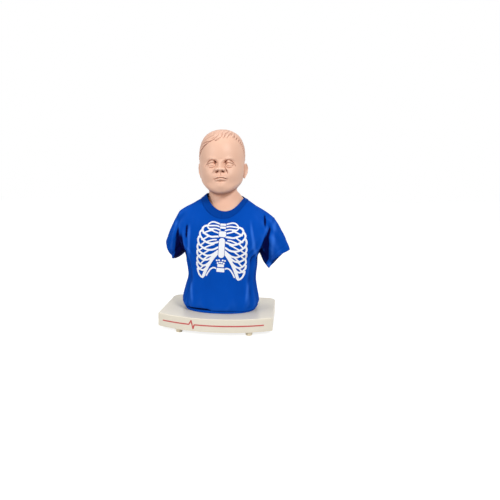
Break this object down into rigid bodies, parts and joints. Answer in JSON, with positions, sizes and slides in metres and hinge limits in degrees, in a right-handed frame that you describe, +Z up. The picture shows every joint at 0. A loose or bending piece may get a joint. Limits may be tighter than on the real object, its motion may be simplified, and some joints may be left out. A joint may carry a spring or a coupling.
{
  "type": "auscultation manikin",
  "caption": "Child torso manikin with a fixed head on a bowed-front base, dressed in a short-sleeved T-shirt printed with a rib cage, for practising chest listening.",
  "frame": {"origin": "on the floor, under the middle of the overall outline", "axes": "+Z up, the face and the bowed front look along -Y, +X is to the viewer's right"},
  "size_m": [0.395, 0.2695, 0.6093],
  "materials": {
    "cream_housing": "satin moulded plastic",
    "cream_foot": "satin moulded plastic",
    "screw_steel": "zinc-plated",
    "board_green": "solder mask on glass-filled board",
    "chip_black": "matt",
    "socket_metal": "plated",
    "jack_black": "matt",
    "rocker_black": "glossy",
    "trace_red": "printed ink",
    "core_white": "moulded plastic",
    "vinyl_skin": "soft vinyl, satin",
    "pad_grey": "sealed pad, matt",
    "jersey_blue": "knitted cotton",
    "rib_blue": "rib-knitted cotton",
    "print_white": "screen print"
  },
  "bodies": {
    "manikin": {"base_cover": "cream_housing", "base_plate": "cream_housing", "board_parts": "chip_black", "board_screws": "screw_steel", "core_screws": "screw_steel", "foot_front_left": "cream_foot", "foot_front_right": "cream_foot", "foot_rear_left": "cream_foot", "foot_rear_right": "cream_foot", "foot_screws": "screw_steel", "front_trace": "trace_red", "head": "vinyl_skin", "main_board": "board_green", "neck_bolt": "screw_steel", "neck_nut": "screw_steel", "neck_plug": "core_white", "neck_washer": "screw_steel", "pad_aortic": "pad_grey", "pad_lung_back_lower_left": "pad_grey", "pad_lung_back_lower_right": "pad_grey", "pad_lung_back_upper_left": "pad_grey", "pad_lung_back_upper_right": "pad_grey", "pad_lung_front_lower_left": "pad_grey", "pad_lung_front_lower_right": "pad_grey", "pad_lung_front_upper_left": "pad_grey", "pad_lung_front_upper_right": "pad_grey", "pad_mitral": "pad_grey", "pad_pulmonic": "pad_grey", "pad_tricuspid": "pad_grey", "pad_windpipe": "pad_grey", "plate_screws": "screw_steel", "power_jack": "jack_black", "power_jack_nut": "socket_metal", "shirt_body": "jersey_blue", "shirt_collar": "rib_blue", "shirt_print": "print_white", "shirt_sleeve_left": "jersey_blue", "shirt_sleeve_right": "jersey_blue", "switch_body": "jack_black", "torso_core": "core_white", "torso_skin": "vinyl_skin", "usb_socket": "socket_metal"},
    "rocker": {"switch_rocker": "rocker_black"}
  },
  "joints": [
    {"name": "power_rocker", "type": "hinge", "parent": "manikin", "child": "rocker", "pos_m": [-0.0841, 0.1286, 0.0322], "axis": [1, 0, 0], "range_deg": [0, 14]}
  ]
}
